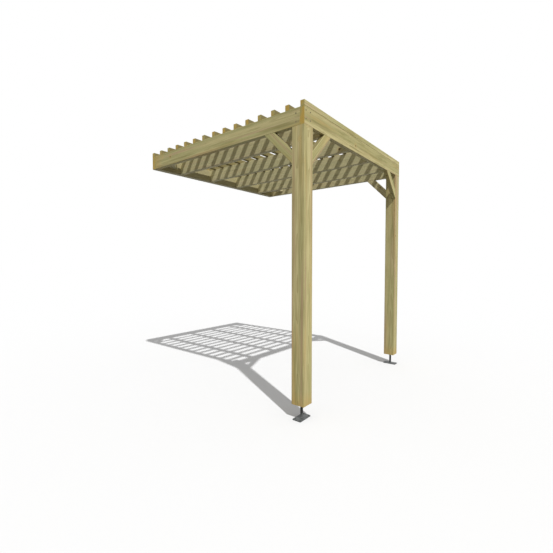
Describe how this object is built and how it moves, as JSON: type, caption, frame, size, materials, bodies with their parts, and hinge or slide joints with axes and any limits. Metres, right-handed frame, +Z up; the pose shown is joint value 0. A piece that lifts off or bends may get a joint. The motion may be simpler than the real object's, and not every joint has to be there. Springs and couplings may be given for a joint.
{
  "type": "lean-to pergola",
  "caption": "Lean-to timber pergola: square front posts on screw feet, braced to a flat roof of beams and joists under open slats; the back beam fixes to a wall.",
  "frame": {"origin": "on the ground, under the middle of the bounding box", "axes": "+Z up, +Y towards the wall, +X along the front from left to right seen from the front"},
  "size_m": [2.115, 2.115, 2.525],
  "materials": {
    "post_timber": "planed, pressure treated softwood, greenish tan",
    "beam_timber": "planed, pressure treated softwood, greenish tan",
    "joist_timber": "planed, pressure treated softwood, greenish tan",
    "slat_timber": "planed, pressure treated softwood, greenish tan",
    "brace_timber": "planed, pressure treated softwood, greenish tan",
    "foot_steel": "dark grey, satin",
    "sleeve_steel": "zinc plated",
    "screw_steel": "zinc plated, dulled"
  },
  "bodies": {
    "frame": {"left_post": "post_timber", "right_post": "post_timber", "front_beam": "beam_timber", "wall_plate": "beam_timber", "left_side_beam": "beam_timber", "right_side_beam": "beam_timber", "joist_1": "joist_timber", "joist_2": "joist_timber", "joist_3": "joist_timber", "joist_4": "joist_timber", "slat_01": "slat_timber", "slat_02": "slat_timber", "slat_03": "slat_timber", "slat_04": "slat_timber", "slat_05": "slat_timber", "slat_06": "slat_timber", "slat_07": "slat_timber", "slat_08": "slat_timber", "slat_09": "slat_timber", "slat_10": "slat_timber", "slat_11": "slat_timber", "slat_12": "slat_timber", "slat_13": "slat_timber", "slat_14": "slat_timber", "slat_15": "slat_timber", "left_side_brace": "brace_timber", "front_left_brace": "brace_timber", "front_right_brace": "brace_timber", "right_side_brace": "brace_timber", "left_wall_brace": "brace_timber", "right_wall_brace": "brace_timber", "left_sleeve": "sleeve_steel", "right_sleeve": "sleeve_steel", "corner_screws": "screw_steel", "joist_screws": "screw_steel", "brace_screws": "screw_steel", "wall_brace_screws": "screw_steel", "slat_screws": "screw_steel", "sleeve_screws": "screw_steel"},
    "left_foot": {"left_base_plate": "foot_steel", "left_stem": "foot_steel"},
    "right_foot": {"right_base_plate": "foot_steel", "right_stem": "foot_steel"}
  },
  "joints": [
    {"name": "left_foot_height", "type": "slide", "parent": "frame", "child": "left_foot", "axis": [0, 0, 1], "range_m": [0, 0.05]},
    {"name": "right_foot_height", "type": "slide", "parent": "frame", "child": "right_foot", "axis": [0, 0, 1], "range_m": [0, 0.05]}
  ]
}
